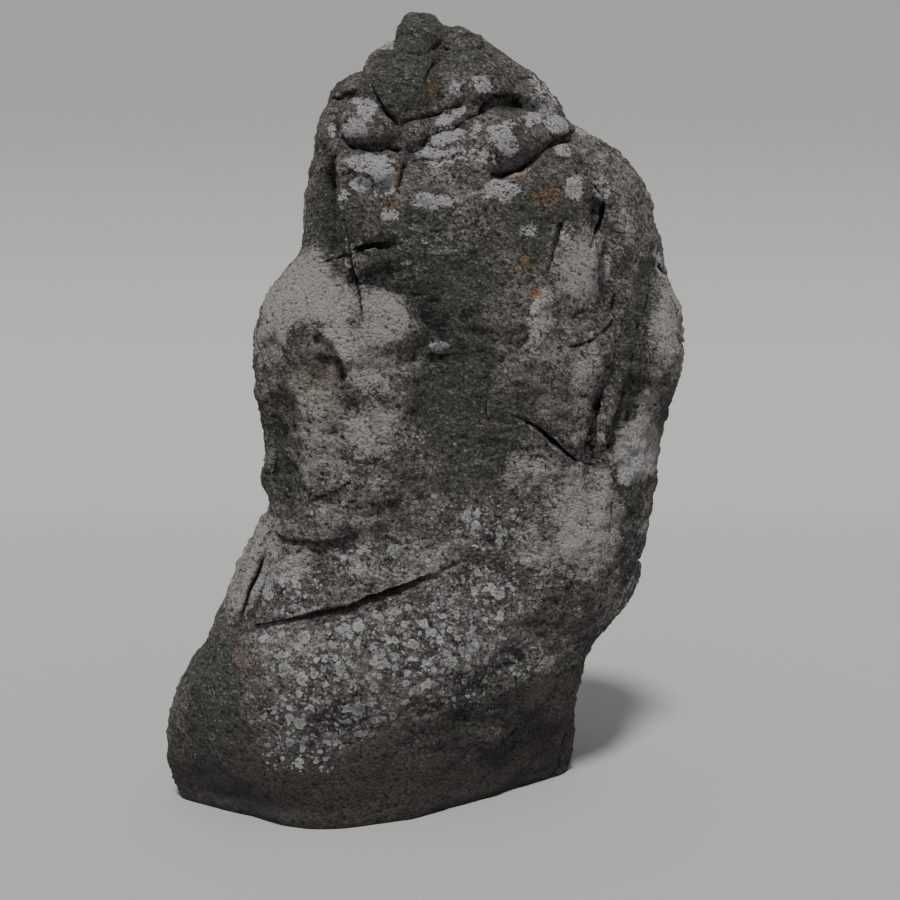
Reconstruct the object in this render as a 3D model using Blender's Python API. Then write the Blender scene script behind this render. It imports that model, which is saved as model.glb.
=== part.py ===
"""A menhir: one weathered granite boulder raised on end and set in the ground.

The block is lofted from level sections, swollen and hollowed where the real stone is, cracked along its joints,
and cut off flat at ground level. +Z is up, the front faces -Y, and the origin is in the middle of the ground cut.
"""

import math

import bpy
import numpy as np
from mathutils import noise

# Driving dimensions, in metres.
STONE_HEIGHT = 2.50
STONE_WIDTH = 1.70
STONE_DEPTH = 1.00
BURIED_DEPTH = 0.08

# Relief that weather has left all over, in metres.
UNDULATION = 0.016
UNDULATION_LENGTH = 0.34

# How round the edges between the flat sides are, in metres.
EDGE_ROUNDING = 0.018

# Paths are smoothed with this many steps to a segment, and run out over this share of their length at each end.
PATH_STEPS = 5
RUN_OUT = 0.15

# How finely the block is lofted, and how many triangles the finished solid keeps.
SECTION_POINTS = 400
LEVELS = 360
KEPT_TRIANGLES = 9600

# Weathered granite, dark with algae.
GRANITE_COLOUR = (0.155, 0.145, 0.125, 1.0)
GRANITE_ROUGHNESS = 0.93

# Bearings that a face looks towards, in degrees: the front is 0 and the stone's right side, as it is faced, is 90.
FRONT, RIGHT, BACK, LEFT = 0, 90, 180, -90

# The outline seen from the front. Each row is a share of the height, then a share of the width from the origin.
LEFT_EDGE = (
    (0.000, -0.362), (0.060, -0.378), (0.100, -0.380), (0.145, -0.356), (0.190, -0.315), (0.240, -0.284),
    (0.300, -0.234), (0.345, -0.196), (0.380, -0.180), (0.410, -0.196), (0.460, -0.206), (0.520, -0.216),
    (0.585, -0.219), (0.625, -0.196), (0.665, -0.156), (0.705, -0.115), (0.765, -0.112), (0.830, -0.094),
    (0.880, -0.083), (0.908, -0.066), (0.932, -0.010), (0.955, 0.022), (0.975, 0.050), (1.000, 0.090),
)
RIGHT_EDGE = (
    (0.000, 0.397), (0.080, 0.402), (0.140, 0.415), (0.190, 0.448), (0.235, 0.500), (0.275, 0.526),
    (0.335, 0.543), (0.400, 0.566), (0.490, 0.588), (0.570, 0.609), (0.620, 0.595), (0.670, 0.572),
    (0.745, 0.554), (0.795, 0.528), (0.830, 0.472), (0.865, 0.392), (0.885, 0.368), (0.918, 0.337),
    (0.955, 0.268), (0.983, 0.180), (1.000, 0.095),
)
# The outline seen from the side: a share of the height, then a share of the depth from the origin.
FRONT_EDGE = (
    (0.000, -0.300), (0.140, -0.345), (0.240, -0.310), (0.360, -0.262), (0.480, -0.270), (0.620, -0.262),
    (0.740, -0.235), (0.840, -0.190), (0.910, -0.125), (0.960, -0.055), (1.000, 0.045),
)
BACK_EDGE = (
    (0.000, 0.450), (0.140, 0.520), (0.320, 0.540), (0.500, 0.520), (0.660, 0.500), (0.800, 0.450),
    (0.900, 0.350), (0.960, 0.240), (1.000, 0.060),
)
# How far the right side stands behind the left one, and how square each section is (2 is an ellipse).
SKEW = ((0.0, 0.21), (0.3, 0.20), (0.6, 0.22), (0.85, 0.15), (1.0, 0.0))
SQUARENESS = ((0.0, 2.0), (0.3, 2.6), (0.6, 3.0), (0.85, 2.5), (1.0, 2.0))


# Crowning blocks seen from the front: across, up, half width, half height, tilt in degrees.
CROWN_BLOCKS = (
    (0.094, 0.975, 0.030, 0.029, 0), (0.040, 0.957, 0.013, 0.014, 0), (0.178, 0.955, 0.030, 0.018, -25),
    (0.066, 0.905, 0.047, 0.054, 0), (0.199, 0.903, 0.053, 0.038, -8), (0.013, 0.851, 0.038, 0.036, -12),
    (-0.069, 0.850, 0.014, 0.030, 0), (-0.040, 0.805, 0.016, 0.018, 0), (0.025, 0.789, 0.031, 0.024, 0),
    (0.091, 0.836, 0.018, 0.024, 0), (0.202, 0.850, 0.038, 0.013, 12), (0.262, 0.833, 0.041, 0.032, 15),
    (0.326, 0.852, 0.034, 0.018, -15), (0.317, 0.886, 0.030, 0.019, -30),
)
BLOCK_ROUNDNESS = 0.55
# Edges: bearing, path, rise of the path's left over its right, and how far each side takes to level out.
LEDGES = (
    # The face's left edge, with the dark side behind it.
    (FRONT, ((-0.045, 0.800), (-0.032, 0.755), (-0.028, 0.700), (-0.022, 0.655), (-0.004, 0.615)), 0.030, 0.048),
    # The right edge of the face.
    (FRONT, ((0.425, 0.790), (0.452, 0.690), (0.448, 0.640), (0.475, 0.615), (0.470, 0.560), (0.430, 0.500),
             (0.420, 0.420), (0.430, 0.340)), 0.022, 0.045),
    # The two diagonals that close the valley below.
    (FRONT, ((0.170, 0.550), (0.120, 0.590), (0.070, 0.626), (-0.004, 0.650)), 0.016, 0.060),
    (FRONT, ((0.295, 0.590), (0.262, 0.562), (0.225, 0.525), (0.205, 0.465)), 0.014, 0.065),
    # The light flake at the top of the right flank.
    (FRONT, ((0.362, 0.726), (0.330, 0.700), (0.310, 0.650), (0.300, 0.622)), 0.014, 0.040),
    # The buttress over the wedge block at its foot.
    (FRONT, ((-0.175, 0.385), (-0.135, 0.358), (-0.080, 0.342), (-0.010, 0.350)), 0.012, 0.050),
    # The shoulder below the deepest crack of the crown.
    (FRONT, ((0.380, 0.838), (0.310, 0.812), (0.262, 0.783), (0.220, 0.776)), 0.010, 0.040),
    # The block over the long low crack.
    (FRONT, ((-0.222, 0.239), (-0.129, 0.244), (-0.023, 0.261), (0.083, 0.285), (0.187, 0.318)), 0.012, 0.045),
    # Flakes of the back.
    (BACK, ((-0.520, 0.690), (-0.300, 0.640), (-0.120, 0.700), (0.060, 0.660)), -0.014, 0.070),
    (BACK, ((-0.460, 0.240), (-0.200, 0.300), (0.050, 0.230), (0.260, 0.280)), 0.014, 0.070),
)
# Planes that bound the back, the sides and the foot: bearing, lean upwards in degrees, share of the reach that way.
FACETS = (
    (150, 6, 0.745), (215, 8, 0.459), (178, 12, 0.613), (95, -8, 0.571), (240, -6, 0.344), (128, 34, 0.980),
    (190, 24, 0.809), (-32, -18, 0.260), (37, -30, 0.147),
)
# Joints that weather has opened: bearing, path, half width and depth.
CRACKS = (
    (FRONT, ((-0.052, 0.886), (-0.010, 0.880), (0.018, 0.866), (0.054, 0.847), (0.066, 0.838)), 0.007, 0.012),
    (FRONT, ((0.066, 0.838), (0.068, 0.810), (0.072, 0.783), (0.065, 0.758)), 0.006, 0.008),
    (FRONT, ((-0.030, 0.824), (-0.005, 0.811), (0.032, 0.809), (0.068, 0.814)), 0.007, 0.014),
    (FRONT, ((0.200, 0.860), (0.225, 0.874), (0.264, 0.881), (0.297, 0.876), (0.351, 0.863)), 0.007, 0.010),
    (FRONT, ((0.222, 0.779), (0.262, 0.787), (0.290, 0.799), (0.312, 0.816), (0.342, 0.828), (0.390, 0.848)),
     0.008, 0.018),
    (FRONT, ((0.362, 0.727), (0.345, 0.712), (0.330, 0.690), (0.318, 0.665), (0.307, 0.640)), 0.006, 0.010),
    (FRONT, ((0.422, 0.748), (0.414, 0.725), (0.403, 0.705), (0.388, 0.688)), 0.006, 0.010),
    (FRONT, ((0.442, 0.641), (0.430, 0.612), (0.413, 0.595), (0.379, 0.585), (0.347, 0.577)), 0.006, 0.005),
    (FRONT, ((0.261, 0.490), (0.292, 0.481), (0.324, 0.466), (0.345, 0.452), (0.366, 0.441), (0.412, 0.435)),
     0.006, 0.008),
    (FRONT, ((-0.222, 0.239), (-0.182, 0.238), (-0.129, 0.244), (-0.023, 0.261), (0.083, 0.285), (0.187, 0.318)),
     0.008, 0.016),
    (FRONT, ((-0.030, 0.683), (0.006, 0.691), (0.041, 0.695), (0.072, 0.696)), 0.007, 0.012),
    (FRONT, ((-0.168, 0.330), (-0.188, 0.297), (-0.206, 0.267), (-0.220, 0.236)), 0.012, 0.016),
    (FRONT, ((-0.221, 0.236), (-0.217, 0.200), (-0.215, 0.152), (-0.206, 0.100)), 0.008, 0.005),
    (BACK, ((-0.480, 0.500), (-0.300, 0.470), (-0.120, 0.505), (0.080, 0.480)), 0.008, 0.012),
    (BACK, ((0.020, 0.860), (-0.060, 0.760), (-0.040, 0.640), (-0.100, 0.520)), 0.008, 0.012),
    (RIGHT, ((0.000, 0.700), (0.200, 0.660), (0.400, 0.690)), 0.008, 0.012),
)


def smooth_curve(rows, at):
    """Reads a curve through the rows' points, with no overshoot between them."""
    x, y = np.array(rows, float).T
    step = np.diff(x)
    slope = np.diff(y) / step
    turn = np.zeros(len(x))
    same_way = slope[:-1] * slope[1:] > 0
    weight_a, weight_b = 2 * step[1:] + step[:-1], step[1:] + 2 * step[:-1]
    with np.errstate(divide="ignore", invalid="ignore"):
        mean = (weight_a + weight_b) / (weight_a / slope[:-1] + weight_b / slope[1:])
    turn[1:-1] = np.where(same_way, mean, 0.0)
    turn[0], turn[-1] = slope[0], slope[-1]
    at = np.clip(at, x[0], x[-1])
    i = np.clip(np.searchsorted(x, at, side="right") - 1, 0, len(step) - 1)
    t = (at - x[i]) / step[i]
    return (
        y[i] * (1 + 2 * t) * (1 - t) ** 2
        + y[i + 1] * t * t * (3 - 2 * t)
        + step[i] * (turn[i] * t * (1 - t) ** 2 - turn[i + 1] * t * t * (1 - t))
    )


def fade(low, high, value):
    """0 below low, 1 above high, and a smooth rise between them."""
    t = np.clip((value - low) / (high - low), 0.0, 1.0)
    return t * t * (3 - 2 * t)


def lofted_grid():
    """The plain block as a grid of points: levels, by points round each level."""
    buried = BURIED_DEPTH / STONE_HEIGHT
    rise = np.linspace(0.0, 1.0, LEVELS)[:, None]
    bearing = np.linspace(0.0, 2 * math.pi, SECTION_POINTS, endpoint=False)[None, :]
    up = -buried + (1.0 + buried) * (1.0 - (1.0 - rise) ** 1.25)
    left = smooth_curve(LEFT_EDGE, up) * STONE_WIDTH
    right = smooth_curve(RIGHT_EDGE, up) * STONE_WIDTH
    front = smooth_curve(FRONT_EDGE, up) * STONE_DEPTH
    back = smooth_curve(BACK_EDGE, up) * STONE_DEPTH
    power = 2.0 / smooth_curve(SQUARENESS, up)
    cosine, sine = np.cos(bearing), np.sin(bearing)
    x_unit = np.sign(cosine) * np.abs(cosine) ** power
    y_unit = np.sign(sine) * np.abs(sine) ** power
    x = (left + right) / 2 + (right - left) / 2 * x_unit
    y = (front + back) / 2 + (back - front) / 2 * y_unit
    y = y + smooth_curve(SKEW, up) * (right - left) / 2 * x_unit
    z = np.broadcast_to(up * STONE_HEIGHT, x.shape)
    return np.stack([x, y, z], axis=-1)


def outward(grid):
    """The grid's unit normals, pointing out of the stone."""
    around = np.roll(grid, -1, axis=1) - np.roll(grid, 1, axis=1)
    upward = np.gradient(grid, axis=0)
    normal = np.cross(around, upward)
    size = np.linalg.norm(normal, axis=-1, keepdims=True)
    return normal / np.maximum(size, 1e-9)


class Block:
    """The stone's skin while it is worked.

    A place on it is given as it is seen from a bearing: across as a share of that side's breadth, and up as a share
    of the height. Reaches, rises and depths are shares of the height.
    """

    def __init__(self, grid):
        self.points = grid
        self.normals = outward(grid)

    def seen_from(self, bearing):
        """How far across and up each point lies in metres, and how squarely it faces that bearing."""
        turn = math.radians(bearing)
        towards = np.array([math.sin(turn), -math.cos(turn), 0.0])
        along = np.array([math.cos(turn), math.sin(turn), 0.0])
        facing = fade(0.05, 0.45, self.normals @ towards)
        return self.points @ along, self.points[..., 2], facing

    def place(self, bearing, across, up):
        """A place's shares as metres across and up."""
        turn = math.radians(bearing)
        breadth = math.hypot(STONE_WIDTH * math.cos(turn), STONE_DEPTH * math.sin(turn))
        return across * breadth, up * STONE_HEIGHT

    def push(self, amount):
        """Moves the skin outwards by a share of the height."""
        self.points = self.points + self.normals * (amount * STONE_HEIGHT)[..., None]

    def swell(self, bearing, across, up, wide, tall, rise, tilt=0.0, crisp=False):
        """Raises an oval, or hollows it if the rise is below 0. A crisp one meets the skin at an edge."""
        s, z, facing = self.seen_from(bearing)
        s0, z0 = self.place(bearing, across, up)
        lean = math.radians(tilt)
        ds, dz = s - s0, z - z0
        u = (ds * math.cos(lean) + dz * math.sin(lean)) / (wide * STONE_HEIGHT)
        v = (dz * math.cos(lean) - ds * math.sin(lean)) / (tall * STONE_HEIGHT)
        inside = np.clip(1.0 - u * u - v * v, 0.0, 1.0)
        self.push(rise * facing * (np.sqrt(inside) if crisp else inside * inside * (3 - 2 * inside)))

    def boulders(self, bearing, blocks, roundness):
        """Raises rounded blocks that meet in creases. Each stands out by its lesser half size times the roundness."""
        s, z, facing = self.seen_from(bearing)
        height = np.zeros(s.shape)
        for across, up, wide, tall, tilt in blocks:
            s0, z0 = self.place(bearing, across, up)
            lean = math.radians(tilt)
            ds, dz = s - s0, z - z0
            u = (ds * math.cos(lean) + dz * math.sin(lean)) / (wide * STONE_HEIGHT)
            v = (dz * math.cos(lean) - ds * math.sin(lean)) / (tall * STONE_HEIGHT)
            off = np.abs(u) ** 2.5 + np.abs(v) ** 2.5
            cap = np.sqrt(np.clip(1.0 - off, 0.0, 1.0))
            height = np.maximum(height, roundness * min(wide, tall) * cap)
        self.push(height * facing)

    def flatten(self, bearing, lean, share):
        """Takes off what stands beyond a plane, and rounds the edge that this leaves a little."""
        turn, rise = math.radians(bearing), math.radians(lean)
        facing = np.array([math.sin(turn) * math.cos(rise), -math.cos(turn) * math.cos(rise), math.sin(rise)])
        reach = np.linalg.norm(facing * (STONE_WIDTH, STONE_DEPTH, STONE_HEIGHT))
        beyond = (self.points @ facing - share * reach) / EDGE_ROUNDING
        taken = EDGE_ROUNDING * np.log1p(np.exp(np.clip(beyond, -40.0, 40.0)))
        self.points = self.points - taken[..., None] * facing
        self.normals = outward(self.points)

    def relax(self, passes):
        """Evens out the grid's finest steps."""
        for _ in range(passes):
            around = (np.roll(self.points, 1, axis=1) + np.roll(self.points, -1, axis=1)) / 2
            self.points[1:-1] = (2 * self.points + around)[1:-1] / 4 + (self.points[:-2] + self.points[2:]) / 8
        self.normals = outward(self.points)

    def near_path(self, bearing, path, reach):
        """The points within reach of a smooth path: which they are, how far from it in shares of the reach, on which
        side (1 is the left, going along), and how strongly the path still runs there."""
        s, z, facing = self.seen_from(bearing)
        marks = np.array([self.place(bearing, across, up) for across, up in path])
        walked = np.concatenate([[0.0], np.cumsum(np.linalg.norm(np.diff(marks, axis=0), axis=1))])
        fine = np.linspace(0.0, walked[-1], PATH_STEPS * (len(path) - 1) + 1)
        marks = np.stack([smooth_curve(np.stack([walked, axis], axis=1), fine) for axis in marks.T], axis=1)
        low, high = marks.min(axis=0) - reach, marks.max(axis=0) + reach
        held = (s > low[0]) & (s < high[0]) & (z > low[1]) & (z < high[1]) & (facing > 0)
        s, z = s[held], z[held]
        gap, side, along = np.full(s.shape, np.inf), np.ones(s.shape), np.zeros(s.shape)
        for start, end, share in zip(marks, marks[1:], fine / fine[-1]):
            run = end - start
            t = np.clip(((s - start[0]) * run[0] + (z - start[1]) * run[1]) / (run @ run), 0.0, 1.0)
            away = np.hypot(s - start[0] - t * run[0], z - start[1] - t * run[1])
            closer = away < gap
            gap = np.where(closer, away, gap)
            side = np.where(closer, np.sign(run[0] * (z - start[1]) - run[1] * (s - start[0])), side)
            along = np.where(closer, share + t / (len(fine) - 1), along)
        runs = fade(-0.02, RUN_OUT, along) * fade(-0.02, RUN_OUT, 1.0 - along) * facing[held]
        return held, gap / reach, side, runs

    def groove(self, bearing, path, reach, depth):
        """A valley along a path. A narrow one is a crack."""
        held, gap, _, runs = self.near_path(bearing, path, reach * STONE_HEIGHT)
        amount = np.zeros(held.shape)
        amount[held] = -depth * runs * fade(0.0, 1.0, 1.0 - gap)
        self.push(amount)

    def step(self, bearing, path, rise, reach):
        """The skin on the path's left stands proud by half the rise and that on its right sits back by half."""
        held, gap, side, runs = self.near_path(bearing, path, reach * STONE_HEIGHT)
        amount = np.zeros(held.shape)
        amount[held] = 0.5 * rise * side * runs * fade(0.0, 0.1, gap) * fade(0.0, 1.0, 1.0 - gap)
        self.push(amount)

    def undulate(self):
        """The slow swell and dip that weather leaves everywhere."""
        flat = self.points.reshape(-1, 3) / UNDULATION_LENGTH
        rough = np.array([noise.fractal(p, 0.9, 2.1, 3) for p in flat.tolist()])
        self.push(rough.reshape(self.points.shape[:2]) * UNDULATION / STONE_HEIGHT)


def work_broad_forms(block):
    """The masses that give the stone its pose: shoulder, buttress, valley, belly and foot."""
    # The face is a shallow valley between a left buttress and a right flank.
    block.groove(FRONT, ((0.14, 0.76), (0.13, 0.66), (0.15, 0.58), (0.19, 0.45)), 0.090, 0.018)
    block.swell(FRONT, 0.000, 0.500, 0.130, 0.150, 0.014)
    block.swell(FRONT, 0.330, 0.560, 0.110, 0.180, 0.012)
    block.swell(FRONT, -0.040, 0.600, 0.110, 0.060, 0.010)
    block.swell(FRONT, -0.150, 0.460, 0.060, 0.070, -0.006)
    # The lower body is one round mass with a belly, and its right half is undercut.
    block.swell(FRONT, -0.070, 0.190, 0.200, 0.090, 0.010)
    block.swell(FRONT, 0.240, 0.085, 0.160, 0.075, -0.012, 12)
    block.groove(FRONT, ((0.30, 0.21), (0.22, 0.17), (0.16, 0.11)), 0.030, 0.008)
    block.groove(FRONT, ((0.38, 0.16), (0.30, 0.11), (0.26, 0.05)), 0.026, 0.008)
    # The side face behind the right front edge is hollowed lengthways, and bulges out at its widest.
    block.groove(RIGHT - 50, ((0.33, 0.78), (0.36, 0.62), (0.33, 0.50), (0.31, 0.38)), 0.036, 0.014)
    block.swell(RIGHT - 20, 0.250, 0.560, 0.080, 0.070, 0.008)
    # The back is split lengthways and slopes off in broad flakes.
    block.groove(BACK, ((-0.34, 0.84), (-0.28, 0.62), (-0.33, 0.40), (-0.24, 0.12)), 0.060, 0.016)
    block.swell(BACK, -0.100, 0.420, 0.120, 0.200, 0.012)
    block.swell(BACK, -0.420, 0.300, 0.080, 0.120, -0.012, 20)
    block.swell(LEFT, 0.100, 0.520, 0.120, 0.110, -0.012)


def work_ledges(block):
    """Edges where one mass of the stone stands proud of the next."""
    for ledge in LEDGES:
        block.step(*ledge)


def work_facets(block):
    """The flat sides that the block split along."""
    for facet in FACETS:
        block.flatten(*facet)


def work_crown(block):
    block.swell(FRONT, 0.150, 0.880, 0.150, 0.100, -0.004)
    block.boulders(FRONT, CROWN_BLOCKS, BLOCK_ROUNDNESS)


def work_cracks(block):
    for crack in CRACKS:
        block.groove(*crack)


def granite():
    material = bpy.data.materials.new("weathered_granite")
    material.use_nodes = True
    shader = material.node_tree.nodes["Principled BSDF"]
    shader.inputs["Base Color"].default_value = GRANITE_COLOUR
    shader.inputs["Roughness"].default_value = GRANITE_ROUGHNESS
    shader.inputs["Metallic"].default_value = 0.0
    return material


def skinned(name, grid):
    """An object whose mesh is the grid, closed by a cap below and a point on top."""
    levels, count = grid.shape[:2]
    crest = grid[-1].mean(axis=0)
    points = np.concatenate([grid[:-1].reshape(-1, 3), crest[None]])
    ring = np.arange(count)
    after = (ring + 1) % count
    base = (np.arange(levels - 2) * count)[:, None]
    sides = np.stack([base + ring, base + after, base + count + after, base + count + ring], axis=-1)
    last = (levels - 2) * count
    tops = np.stack([last + ring, last + after, np.full(count, len(points) - 1)], axis=-1)
    mesh = bpy.data.meshes.new(name)
    mesh.from_pydata(points.tolist(), [], sides.reshape(-1, 4).tolist() + tops.tolist() + [ring[::-1].tolist()])
    obj = bpy.data.objects.new(name, mesh)
    bpy.context.scene.collection.objects.link(obj)
    return obj


def ground_cutter():
    """A slab whose top is the ground, taken away from the buried foot."""
    spread = 2 * max(STONE_WIDTH, STONE_DEPTH)
    bpy.ops.mesh.primitive_cube_add(size=1.0, location=(0.0, 0.0, -BURIED_DEPTH))
    cutter = bpy.context.object
    cutter.name = "ground_cutter"
    cutter.scale = (spread, spread, 2 * BURIED_DEPTH)
    bpy.ops.object.transform_apply(location=True, scale=True)
    cutter.hide_render = True
    cutter.display_type = "WIRE"
    return cutter


def main():
    for obj in list(bpy.data.objects):
        bpy.data.objects.remove(obj)
    block = Block(lofted_grid())
    work_facets(block)
    work_broad_forms(block)
    work_ledges(block)
    work_crown(block)
    work_cracks(block)
    block.undulate()
    block.relax(2)
    stone = skinned("standing_stone", block.points)
    stone.data.materials.append(granite())
    stone.data.shade_smooth()
    thin = stone.modifiers.new("fewer_triangles", "DECIMATE")
    thin.ratio = KEPT_TRIANGLES / (2.0 * SECTION_POINTS * LEVELS)
    cut = stone.modifiers.new("cut_at_ground", "BOOLEAN")
    cut.operation = "DIFFERENCE"
    cut.solver = "EXACT"
    cut.object = ground_cutter()


main()
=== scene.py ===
"""A menhir: one weathered granite boulder raised on end, with its cracks, its rough skin and its lichens.

Places on the stone are given as they show in a picture of 900 by 900 pixels, across and down from its top
left corner. The camera that takes it stands in front of the stone, or has walked round it by a bearing.
"""

import math

import bmesh
import bpy
import numpy as np
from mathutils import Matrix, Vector


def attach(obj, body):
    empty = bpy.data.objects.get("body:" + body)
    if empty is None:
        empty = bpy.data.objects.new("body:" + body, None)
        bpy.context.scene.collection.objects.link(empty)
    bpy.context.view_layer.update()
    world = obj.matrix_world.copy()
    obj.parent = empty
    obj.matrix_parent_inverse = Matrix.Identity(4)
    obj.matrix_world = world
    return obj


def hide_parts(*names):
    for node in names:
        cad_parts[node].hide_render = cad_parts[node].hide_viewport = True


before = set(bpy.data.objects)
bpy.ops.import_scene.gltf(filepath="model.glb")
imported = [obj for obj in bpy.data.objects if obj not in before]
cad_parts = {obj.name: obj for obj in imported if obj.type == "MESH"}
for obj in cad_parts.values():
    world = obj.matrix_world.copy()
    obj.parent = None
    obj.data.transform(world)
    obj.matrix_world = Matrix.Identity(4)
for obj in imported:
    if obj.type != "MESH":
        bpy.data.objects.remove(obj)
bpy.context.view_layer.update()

# The camera stands 3.5 m in front of the stone's origin, 1.3 m above the ground, and looks down a little.
CAMERA_PLACE = (0.26, -3.50, 1.30)
CAMERA_DIP = math.radians(3.0)
CAMERA_FIELD = math.radians(45.0)
PICTURE = 900

camera_lens = bpy.data.cameras.new("camera")
camera_lens.angle = CAMERA_FIELD
camera = bpy.data.objects.new("camera", camera_lens)
camera.location = CAMERA_PLACE
camera.rotation_euler = (math.pi / 2 - CAMERA_DIP, 0.0, 0.0)
bpy.context.scene.collection.objects.link(camera)
bpy.context.scene.camera = camera


# The block itself: one piece of coarse granite, split and rounded by weather, and cut off flat at the ground.
# Its skin is the solid's own form drawn again in small even faces, smoothed so that no facet is left to see.
SKIN_FACE = 0.0050
SKIN_ROUNDS, SKIN_SOFTNESS = 20, 0.5
MERGE_WITHIN = 0.0001
# The upright line that the camera walks round, and its own axes.
WALK_CENTRE = np.array([0.20, 0.10, 0.0])
CAMERA_AHEAD = np.array([0.0, math.cos(CAMERA_DIP), -math.sin(CAMERA_DIP)])
CAMERA_UP = np.array([0.0, math.sin(CAMERA_DIP), math.cos(CAMERA_DIP)])
# Below this height in metres the skin is the stone's flat underside.
GROUND_EDGE = 0.004


def plain_mesh(piece):
    """Turns a piece's modifiers into its mesh, and takes them off."""
    made = bpy.data.meshes.new_from_object(piece.evaluated_get(bpy.context.evaluated_depsgraph_get()))
    piece.modifiers.clear()
    piece.data = made


def read_points(mesh, what="co"):
    numbers = np.empty(len(mesh.vertices) * 3, np.float32)
    mesh.vertices.foreach_get(what, numbers)
    return numbers.reshape(-1, 3).astype(float)


def write_points(mesh, points):
    mesh.vertices.foreach_set("co", points.astype(np.float32).ravel())
    mesh.update()


def paint(mesh, name, values):
    """Keeps a number for each point on the mesh, under a name that the finish reads it by."""
    mesh.attributes.new(name, "FLOAT", "POINT").data.foreach_set("value", values.astype(np.float32))


def even_out(mesh, values, rounds):
    """Each vertex's value averaged with its neighbours', some rounds over."""
    pairs = np.empty(len(mesh.edges) * 2, np.int32)
    mesh.edges.foreach_get("vertices", pairs)
    a, b = pairs.reshape(-1, 2).T
    count = np.bincount(pairs, minlength=len(mesh.vertices))
    for _ in range(rounds):
        total = np.stack([
            np.bincount(a, values[b, axis], len(count)) + np.bincount(b, values[a, axis], len(count))
            for axis in range(values.shape[1])
        ], axis=1)
        values = 0.5 * values + 0.5 * total / count[:, None]
    return values


stone = bpy.data.objects.new("stone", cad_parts["standing_stone"].data.copy())
bpy.context.scene.collection.objects.link(stone)
joined = bmesh.new()
joined.from_mesh(stone.data)
bmesh.ops.remove_doubles(joined, verts=joined.verts, dist=MERGE_WITHIN)
joined.to_mesh(stone.data)
joined.free()
stone.data.materials.clear()
redraw = stone.modifiers.new("even_faces", "REMESH")
redraw.mode = "VOXEL"
redraw.voxel_size = SKIN_FACE
soften = stone.modifiers.new("no_facets", "SMOOTH")
soften.factor = SKIN_SOFTNESS
soften.iterations = SKIN_ROUNDS
plain_mesh(stone)


# Joints and creases: where the granite has split along its planes and the edges have worn round.
# Each is carved into the skin along its path, narrow and deep, with one lip a little proud of the other,
# and its slit is given painted shade.
PATH_STEPS = 6
FRONT, RIGHT, BACK, LEFT = 0, 90, 180, 270
# How far behind the walk's centre the skin still counts as seen, and the facing it is worked in full from.
FAR_SIDE = 0.25
FACED = 0.3
# The shares of a joint's length that it runs out and narrows over at either end, and what is left there of
# its width, depth and shade.
RUN_OUT, TAPER = 0.10, 0.40
END_WIDTH, END_DEPTH, END_SHADE = 0.4, 0.3, 0.35
# How far about it a joint works, in its widths, lips and rolls.
WIDTHS_ABOUT, LIPS_ABOUT, ROLLS_ABOUT = 2.5, 6, 2.5
# How far its line and its opening stray, as shares of its width, and how long their bends are, in widths.
WANDER, WANDER_BENDS = 0.06, 9
OPENING, OPENING_CHANGE, OPENING_BENDS, OPENING_SHIFT = 0.85, 0.25, 14, 0.37
# Points near its bottom slide into it: in full within the first number of faces, not at all past the other.
SLIDE_FULL, SLIDE_NONE = 0.7, 1.5
MOST_LEAN = 0.3
SLIT_CURVE = 0.8
# Where its paler painted rim lies, how broad that is and how far its painted shade reaches, in openings, and
# the depth at which that shade is full.
RIM_PLACE, RIM_BREADTH = 1.5, 0.8
SHADE_REACH = 1.3
DARK_DEPTH = 0.020
RELIEF_IN_JOINTS = 0.20
# The bed that is evened out under a joint, from a line of the picture down, on walls that face away too.
BED_REACH, BED_FULL = 0.050, 0.6
BED_ROUNDS = 110
BED_BELOW, BED_FADE = 215, 10.0
WALL_FACING = -0.55
SWELL_REACH = 1.2
PATCH_FACING = -0.05, 0.25
PATCH_REACH, PATCH_FADE = 1.35, 0.9


def fade(low, high, value):
    """0 below low, 1 above high, and a smooth rise between them."""
    t = np.clip((value - low) / (high - low), 0.0, 1.0)
    return t * t * (3 - 2 * t)


def walked_round(bearing):
    """The turn that brings what stands at a bearing in front of the camera, as a matrix."""
    turn = math.radians(bearing)
    return np.array([[math.cos(turn), math.sin(turn), 0], [-math.sin(turn), math.cos(turn), 0], [0, 0, 1]])


def seen_from(bearing, points, normals):
    """Where the camera sees each point once it has walked round by a bearing: across and down in pixels, how
    squarely the skin faces it (-1 on the far side), and how many metres a pixel covers there.
    """
    walk = walked_round(bearing)
    standing = (points - WALK_CENTRE) @ walk.T
    away = standing + WALK_CENTRE - CAMERA_PLACE
    depth = away @ CAMERA_AHEAD
    metres = depth * math.tan(CAMERA_FIELD / 2) / (PICTURE / 2)
    across = PICTURE / 2 + away[:, 0] / metres
    down = PICTURE / 2 - away @ CAMERA_UP / metres
    facing = -np.einsum("ij,ij->i", normals @ walk.T, away) / np.linalg.norm(away, axis=1)
    return across, down, np.where(standing[:, 1] > FAR_SIDE, -1.0, facing), metres


def smooth_path(path):
    """A path's points with more between them, on a curve through them all."""
    marks = np.array(path, float)
    marks = np.concatenate([[2 * marks[0] - marks[1]], marks, [2 * marks[-1] - marks[-2]]])
    steps = []
    for a, b, c, d in zip(marks, marks[1:], marks[2:], marks[3:]):
        for t in np.arange(PATH_STEPS) / PATH_STEPS:
            square = (2 * a - 5 * b + 4 * c - d) * t**2
            cube = (3 * b - a - 3 * c + d) * t**3
            steps.append(0.5 * (2 * b + (c - a) * t + square + cube))
    return np.array(steps + [marks[-2]])


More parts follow.
